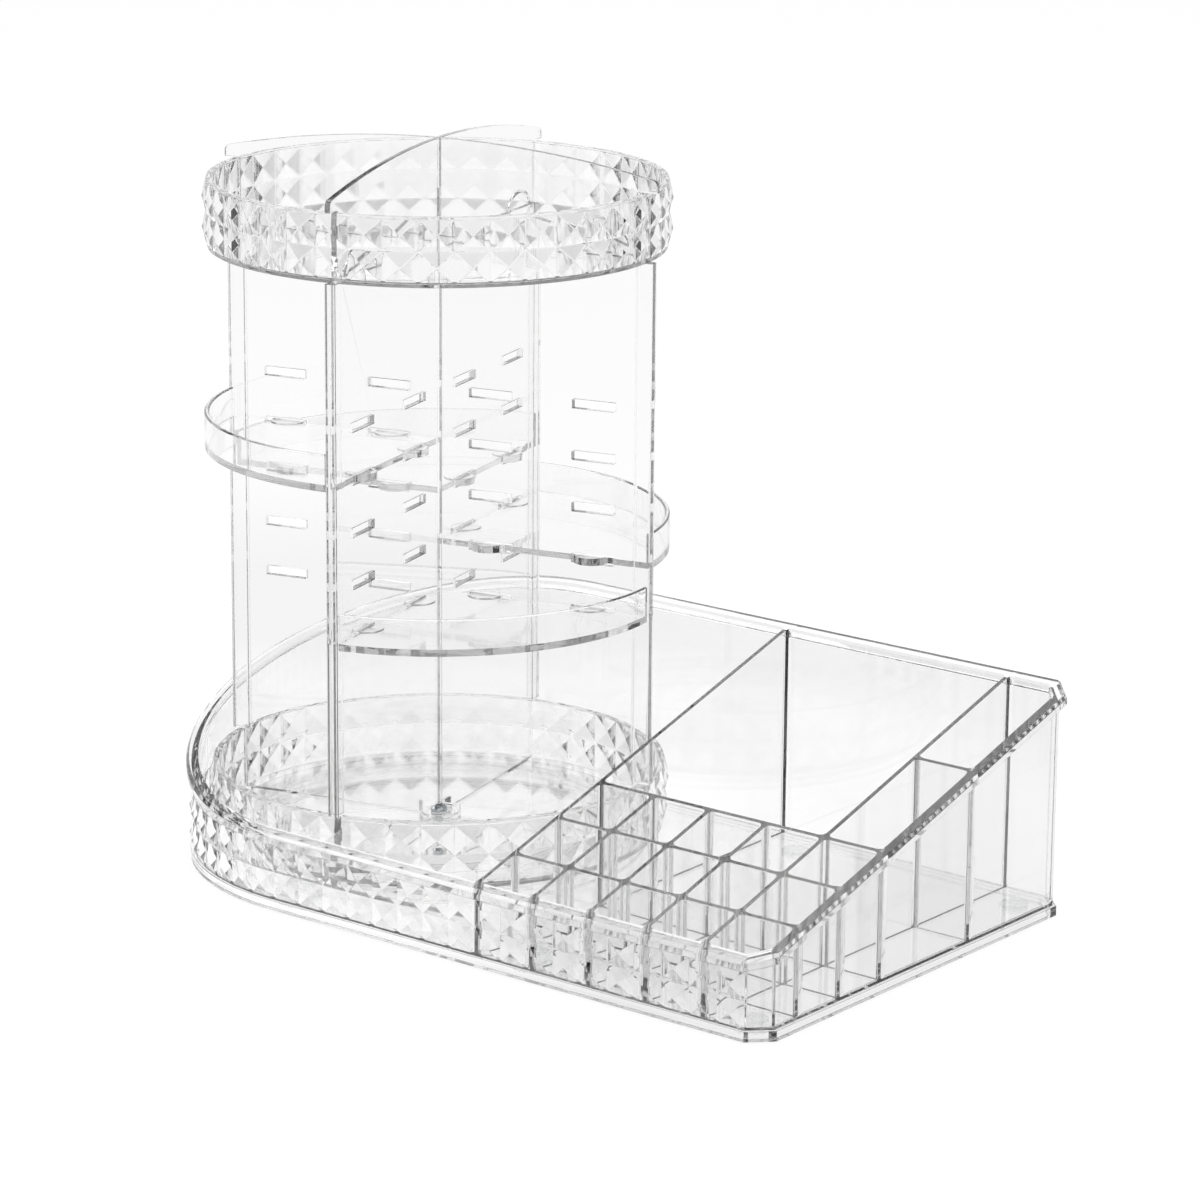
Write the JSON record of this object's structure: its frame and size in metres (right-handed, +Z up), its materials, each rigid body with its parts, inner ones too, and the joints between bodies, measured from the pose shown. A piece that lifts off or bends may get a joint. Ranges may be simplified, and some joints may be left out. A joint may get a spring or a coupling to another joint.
{
  "type": "rotating makeup organizer",
  "caption": "Clear plastic makeup organizer: a revolving tower with quarter shelves and a round top tray stands in a base with lipstick cells and bins under a slanted rim.",
  "frame": {"origin": "on the tower's axis, on the table under the pads", "axes": "+X along the base towards the lipstick cells, +Y to the high back, +Z up along the tower's axis"},
  "size_m": [0.37, 0.22, 0.3167],
  "materials": {
    "clear_plastic": "clear, polished moulding",
    "clear_rubber": "translucent",
    "steel": "plain"
  },
  "bodies": {
    "base": {"base_tray": "clear_plastic", "anti_slip_pads": "clear_rubber", "lower_race": "clear_plastic", "pivot_washer": "clear_plastic", "pivot_screw": "steel"},
    "carousel": {"bottom_tray": "clear_plastic", "upper_race": "clear_plastic", "pivot_bush": "clear_plastic", "long_panel": "clear_plastic", "short_panel": "clear_plastic"},
    "roller_ring": {"roller_cage": "clear_plastic", "rollers": "clear_plastic"},
    "shelf_1": {"shelf_1": "clear_plastic"},
    "shelf_2": {"shelf_2": "clear_plastic"},
    "shelf_3": {"shelf_3": "clear_plastic"},
    "shelf_4": {"shelf_4": "clear_plastic"},
    "top_tray": {"top_tray": "clear_plastic"},
    "cross_divider": {"long_arch": "clear_plastic", "short_arch": "clear_plastic"}
  },
  "joints": [
    {"name": "carousel_spin", "type": "hinge", "parent": "base", "child": "carousel", "pos_m": [0, 0, 0.0103], "axis": [0, 0, 1], "continuous": true},
    {"name": "cage_spin", "type": "hinge", "parent": "base", "child": "roller_ring", "pos_m": [0, 0, 0.0103], "axis": [0, 0, 1], "continuous": true},
    {"name": "shelf_1_pull", "type": "slide", "parent": "carousel", "child": "shelf_1", "axis": [0.509, 0.8607, 0], "range_m": [0, 0.11]},
    {"name": "shelf_2_pull", "type": "slide", "parent": "carousel", "child": "shelf_2", "axis": [-0.8607, 0.509, 0], "range_m": [0, 0.11]},
    {"name": "shelf_3_pull", "type": "slide", "parent": "carousel", "child": "shelf_3", "axis": [-0.509, -0.8607, 0], "range_m": [0, 0.11]},
    {"name": "shelf_4_pull", "type": "slide", "parent": "carousel", "child": "shelf_4", "axis": [0.8607, -0.509, 0], "range_m": [0, 0.11]},
    {"name": "top_tray_lift", "type": "slide", "parent": "carousel", "child": "top_tray", "axis": [0, 0, 1], "range_m": [0, 0.06]},
    {"name": "cross_divider_lift", "type": "slide", "parent": "top_tray", "child": "cross_divider", "axis": [0, 0, 1], "range_m": [0, 0.06]}
  ],
  "couplings": [
    {"joint": "cage_spin", "follows": "carousel_spin", "ratio": 0.5}
  ]
}
